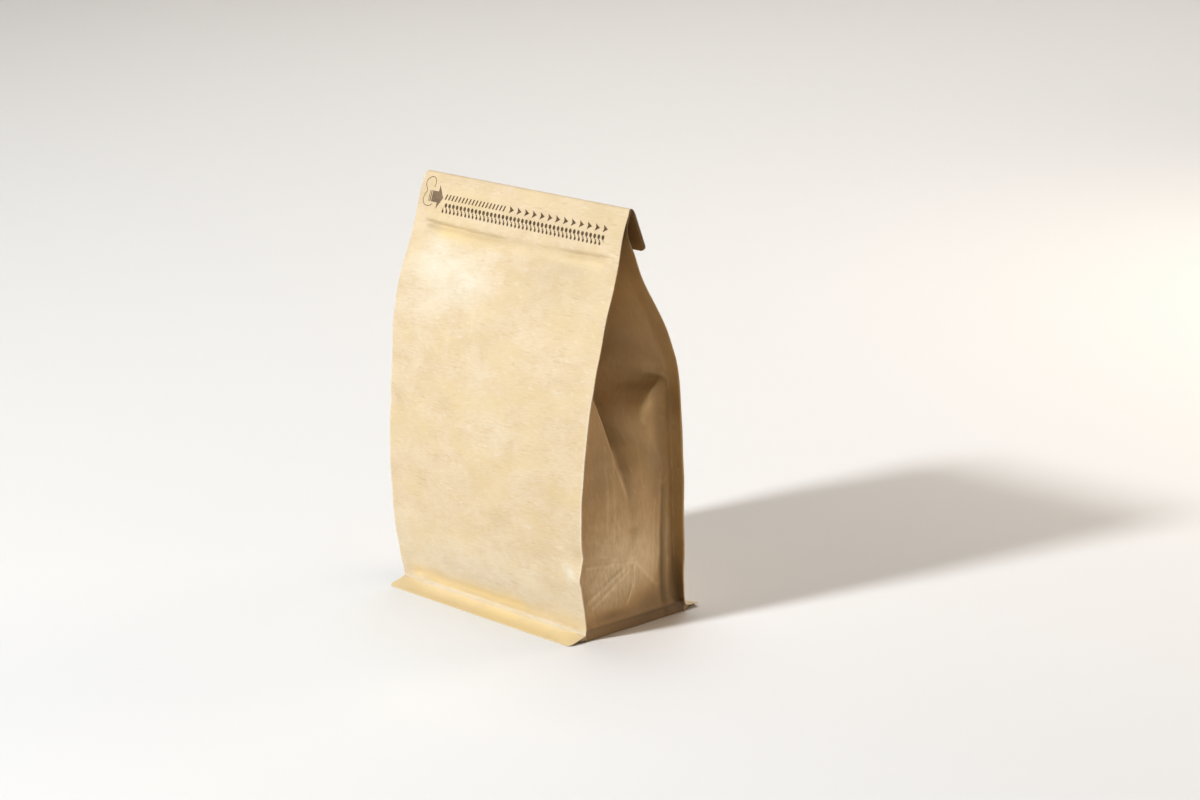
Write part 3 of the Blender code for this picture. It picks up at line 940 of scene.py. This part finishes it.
def basePanel():
    # the outline, flat below with a wedge under each flange, carried along x with its lips'
    # corners rounded, and closed at both ends
    wedge = np.array(base["wedge"])
    reach, corner = wedge[0, 0], bag["lipCorner"]
    outline = np.concatenate([[(-reach, 0), (0, 0), (reach, 0)], wedge, [base["middle"]],
                              wedge[::-1] * (-1, 1)])
    steps = np.sin(np.linspace(-1, 1, base["columns"]) * np.pi / 2) * base["halfWidth"]
    near = np.clip((np.abs(outline[:, 0]) - (reach - corner)) / corner, 0, 1)
    across = steps[:, None] * (1 - corner * (1 - np.sqrt(1 - near**2)) / base["halfWidth"])
    points = np.stack([across, *(np.broadcast_to(outline[:, i], across.shape) for i in (0, 1))], -1)
    points[..., 2] += lipCurl(points[..., 0], points[..., 1])
    index = gridIndex(points)
    closed = np.concatenate([index, index[:, :1]], 1)
    faces = quadsOf(closed).tolist() + [index[0].tolist(), index[-1, ::-1].tolist()]
    piece = newPiece("basePanel", points.reshape(-1, 3), faces, kraftPanel)
    asFilm(piece, points.reshape(-1, 3)[:, :2] * 0.001 + base["patternPlace"])


basePanel()
print("base panel made")

# print on the front film
ink = {
    "full": (0.055, 0.028, 0.011),
    "thin": (0.130, 0.081, 0.047),
    "paper": 0.12,  # share of the paper's colour where the ink is thinnest
    "roughness": (0.55, 0.75),
    "ior": 1.3,
    "lift": 0.02,  # from the film to the print's underside
    "depth": 0.03,
}


def inkMaterial(name, colour):
    # dark brown ink, thinner where the paper's fibres stand up
    material, tree, shader = newMaterial(name)
    fibres, clouds = paperPattern(tree, tree.nodes.new("ShaderNodeTexCoord").outputs["Object"])[:2]
    thin = tuple(blend(np.array(colour), np.array(kraft["deep"]), ink["paper"]))
    feed(tree, shader, {"Base Color": mixColours(tree, fibres, colour, thin), "IOR": ink["ior"],
                        "Roughness": rangeNode(tree, clouds, 0.2, 0.8, *ink["roughness"])})
    return material


fullInk, thinInk = inkMaterial("fullInk", ink["full"]), inkMaterial("thinInk", ink["thin"])
frontFace = unitNormals(frontGrid)
frontOuter = frontGrid + frontFace * bag["film"] / 2
frontRows = np.arange(rows["body"] - 40, rows["body"] + fold["straightRows"] + 2)


def onFilm(u, v, lift):
    # the point of the front film at x = u and height v, lifted off it, mixed from its four neighbours
    rowAt = np.interp(v, frontGrid[frontRows, middleColumn, 2], frontRows)
    low = np.floor(rowAt).astype(int)
    up = (rowAt - low)[..., None]
    columns = x[rows["body"]]
    columnAt = np.interp(u, columns, np.arange(len(columns)))
    left = np.clip(np.floor(columnAt).astype(int), 0, len(columns) - 2)
    over = (columnAt - left)[..., None]
    mixed = []
    for grid in (frontOuter, frontFace):
        bottom = grid[low, left] * (1 - over) + grid[low, left + 1] * over
        top = grid[low + 1, left] * (1 - over) + grid[low + 1, left + 1] * over
        mixed.append(bottom * (1 - up) + top * up)
    return mixed[0] + mixed[1] * lift


def plate(outline):
    # the outline's points on the film, above and then below
    return [onFilm(outline[..., 0], outline[..., 1], ink["lift"] + depth) for depth in (ink["depth"], 0)]


def marksPiece(name, outlines, finish):
    # every outline (x, height) laid on the film as a thin closed plate
    points, faces, count = [], [], 0
    for shapes in outlines:
        number, corners = shapes.shape[:2]
        points.append(np.concatenate(plate(shapes), 1).reshape(-1, 3))
        first = count + np.arange(number)[:, None] * 2 * corners
        here = first + np.arange(corners)
        faces += here.tolist() + (here + corners)[:, ::-1].tolist() + rimOf(here, corners).tolist()
        count += number * 2 * corners
    newPiece(name, np.concatenate(points), faces, finish, smooth=False)


turn = np.linspace(0, 2 * np.pi, 11)[:-1]
oval = np.c_[0.90 * np.cos(turn), 1.10 * np.sin(turn)]
marks = {  # outline, first one's x and height, count and pitch
    "topTeeth": (oval, -50.2, 189.0, 41, 2.70),
    "topStems": ([(-0.10, -0.8), (0.30, -0.8), (0.95, -2.0), (0.55, -2.0)], -50.2, 189.0, 41, 2.70),
    "lowTeeth": (oval * (0.72, 0.8), -51.8, 186.1, 41, 2.70),
    "lowStems": ([(0.16, 0.6), (-0.16, 0.6), (-0.30, 1.5), (0.02, 1.5)], -51.8, 186.1, 41, 2.70),
    "heads": ([(-1.5, -1.7), (1.6, 0.0), (-1.5, 1.7), (-0.9, 0.0)], -4.8, 192.9, 13, 5.27),
    "dashes": ([(-1.0, -1.3), (-0.10, -1.3), (0.95, 1.3), (0.05, 1.3)], -51.0, 192.8, 18, 2.42),
}
arrow = {
    "tip": (-53.2, 192.1),
    "neck": -57.1,
    "half": 5.6,  # half height at the neck
    "bars": ((-63.2, -62.85), (-62.35, -61.65), (-61.2, -57.1)),
    "barHalf": 2.6,
}


def rowOfMarks(outline, first, height, count, pitch):
    # the outline at every place of its row
    places = np.c_[first + np.arange(count) * pitch, np.full(count, height)]
    return np.array(outline, float) + places[:, None]


def arrowStrip(start, end, tallStart, tallEnd):
    # a strip between two upright sides, cut into rows of four-cornered cells
    rise, middle = np.linspace(-1, 1, 9), arrow["tip"][1]
    first = np.c_[np.full(9, start), middle + tallStart * rise]
    last = np.c_[np.full(9, end), middle + tallEnd * rise]
    return np.stack([first[:-1], last[:-1], last[1:], first[1:]], axis=1)


def largeArrow():
    # upright strips, each straight-sided, so that the arrow follows the film
    tip, neck = arrow["tip"][0], arrow["neck"]
    strips = [arrowStrip(*bar, arrow["barHalf"], arrow["barHalf"]) for bar in arrow["bars"]]
    cuts = np.linspace(neck, tip - 0.05, 8)
    tall = arrow["half"] * (tip - cuts) / (tip - neck)
    strips += [arrowStrip(*cuts[i:i + 2], *tall[i:i + 2]) for i in range(len(cuts) - 1)]
    return np.concatenate(strips)


marksPiece("zipPrint", [rowOfMarks(*mark) for mark in marks.values()], fullInk)
marksPiece("arrowPrint", [largeArrow()], thinInk)

tab = {
    "line": [
        (-60.8, 196.2), (-60.6, 198.6), (-62.2, 200.5), (-64.6, 200.6), (-66.8, 199.2), (-67.1, 197),
        (-65.8, 195.2), (-65.2, 194.2), (-66.2, 192.6), (-66.9, 190.4), (-66.2, 188.3), (-64.2, 187.3),
        (-61.8, 187.6), (-60.2, 188.6),
    ],
    "half": 0.16,  # half of the line's width
    "steps": 90,
}


def tabOutline():
    # a thin line along a smooth curve through the points, in two loops open on the right: each
    # stretch is the cubic through its ends whose slopes are half the step between its neighbours
    controls, half = np.array(tab["line"]), tab["half"]
    steps = np.linspace(0, len(controls) - 1, tab["steps"])
    first = np.clip(steps.astype(int), 0, len(controls) - 2)
    part = (steps - first)[:, None]
    before = controls[np.maximum(first - 1, 0)]
    after = controls[np.minimum(first + 2, len(controls) - 1)]
    a, b = controls[first], controls[first + 1]
    line = 0.5 * (2 * a + (b - before) * part + (2 * before - 5 * a + 4 * b - after) * part**2
                  + (3 * a - before - 3 * b + after) * part**3)
    way = np.gradient(line, axis=0)
    left = np.c_[-way[:, 1], way[:, 0]] / np.linalg.norm(way, axis=1)[:, None] * half
    ring = np.concatenate([line - left, (line + left)[::-1]])
    count = len(line)
    here = np.arange(count - 1)
    cells = np.stack([here, here + 1, 2 * count - 2 - here, 2 * count - 1 - here], -1)
    faces = np.concatenate([cells, cells[:, ::-1] + 2 * count, rimOf(np.arange(2 * count), 2 * count)])
    newPiece("tabOutline", np.concatenate(plate(ring)), faces.tolist(), fullInk, smooth=False)


tabOutline()
print("print made")

# studio
studio = {
    "floorColour": (0.720, 0.702, 0.672),
    "floorRoughness": 0.75,
    "floorRadius": 3.0,
    "floorSweep": 1.2,  # radius of the sweep up round the floor
    "skyColour": (1.0, 0.90, 0.80), "skyStrength": 0.01,
    "cameraPlace": (1.0329, -0.9674, 0.4667), "cameraAim": (0.0971, -0.0556, 0.1270), "lens": 91.24,
}

lamps = {  # place, aim, size, power and colour
    "keyLight": ((-0.40, -2.30, 1.55), (0, 0, 0.1), 0.32, 105, (0.90, 0.945, 1.0)),
    "fillLight": ((0.35, 1.2, 0.30), (0.06, 0, 0.09), 0.8, 9, (1.0, 0.82, 0.64)),
    "topLight": ((0.3, 0.5, 2.5), (0, 0.1, 0), 2.0, 12, (1.0, 0.76, 0.58)),
    "overLight": ((-0.50, 0.32, 2.2), (0, 0, 0), 1.5, 18, (0.80, 0.91, 1.0)),
    "wallLight": ((-0.9, 1.3, 2.6), (-2.2, 3.6, 0.5), 1.2, 60, (1.0, 0.96, 0.92)),
}


def studioFloor():
    # a flat round floor whose rim sweeps up: radius and height carried round the upright axis
    reach, sweep = studio["floorRadius"], studio["floorSweep"]
    flat = np.linspace(0, reach, 12)
    lift = np.linspace(0, np.pi / 2, 14)[1:]
    radius = np.append(flat, reach + sweep * np.sin(lift))
    height = np.append(np.zeros(len(flat)), sweep * (1 - np.cos(lift)))
    turn = np.linspace(0, 2 * np.pi, 97)[:-1]
    points = np.stack([radius[1:, None] * np.cos(turn), radius[1:, None] * np.sin(turn),
                       height[1:, None] + 0 * turn], -1).reshape(-1, 3)
    index = np.arange(len(points)).reshape(-1, 96) + 1
    closed = np.concatenate([index, index[:, :1]], 1)
    middle = np.c_[np.zeros(96, int), closed[0, :-1], closed[0, 1:]]
    faces = quadsOf(closed)[:, ::-1].tolist() + middle.tolist()
    mesh = bpy.data.meshes.new("studioFloor")
    mesh.from_pydata([(0, 0, 0)] + points.tolist(), [], faces)
    mesh.shade_smooth()
    material, tree, shader = newMaterial("paleFloor")
    feed(tree, shader, {"Base Color": (*studio["floorColour"], 1), "Roughness": studio["floorRoughness"]})
    mesh.materials.append(material)
    floor = newObject("studioFloor", mesh)


def aimed(name, data, place, aim):
    made = newObject(name, data)
    made.location = place
    made.rotation_euler = (Vector(aim) - Vector(place)).to_track_quat("-Z", "Y").to_euler()
    return made


studioFloor()
for name, (place, aim, size, power, colour) in lamps.items():
    light = bpy.data.lights.new(name, "AREA")
    light.shape, light.size, light.energy, light.color = "DISK", size, power, colour
    aimed(name, light, place, aim).visible_camera = False
world = bpy.data.worlds.new("studioAir")
world.use_nodes = True
feed(world.node_tree, world.node_tree.nodes["Background"],
     {"Color": (*studio["skyColour"], 1), "Strength": studio["skyStrength"]})
bpy.context.scene.world = world
bpy.context.scene.view_settings.view_transform = "Standard"

camera = aimed("camera", bpy.data.cameras.new("camera"), studio["cameraPlace"], studio["cameraAim"])
camera.data.lens, camera.data.sensor_width = studio["lens"], 36
bpy.context.scene.camera = camera
print("studio made")

bpy.context.view_layer.update()
